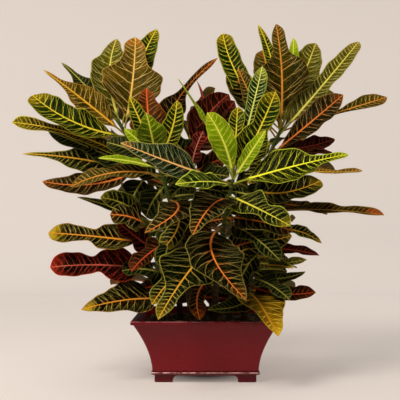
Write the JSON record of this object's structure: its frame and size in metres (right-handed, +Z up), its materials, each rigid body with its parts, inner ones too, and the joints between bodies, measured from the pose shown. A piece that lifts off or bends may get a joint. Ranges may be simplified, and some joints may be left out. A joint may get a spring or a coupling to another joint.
{
  "type": "potted croton",
  "caption": "Bushy croton house plant with long lobed, coloured-veined leaves on upright stems, in a square flared glazed pot on bracket feet.",
  "frame": {"origin": "on the ground under the middle of the pot", "axes": "+Z up, +X along the pot's front to the right, -Y towards the front that the picture shows"},
  "size_m": [0.6583, 0.4014, 0.6334],
  "materials": {
    "glaze": "glossy oxblood glaze with soft pooling at the edges",
    "potting_soil": "dark crumbly potting soil with bark and moss bits",
    "foliage": "glossy leathery leaves with yellow, orange and red veins"
  },
  "bodies": {
    "root": {"pot": "glaze", "soil": "potting_soil", "stem_left_tall": "foliage", "stem_left_front": "foliage", "stem_low_left": "foliage", "stem_back_tall": "foliage", "stem_right_tall": "foliage", "stem_front_right": "foliage", "stem_low_right": "foliage", "stem_low_back": "foliage"}
  },
  "joints": []
}
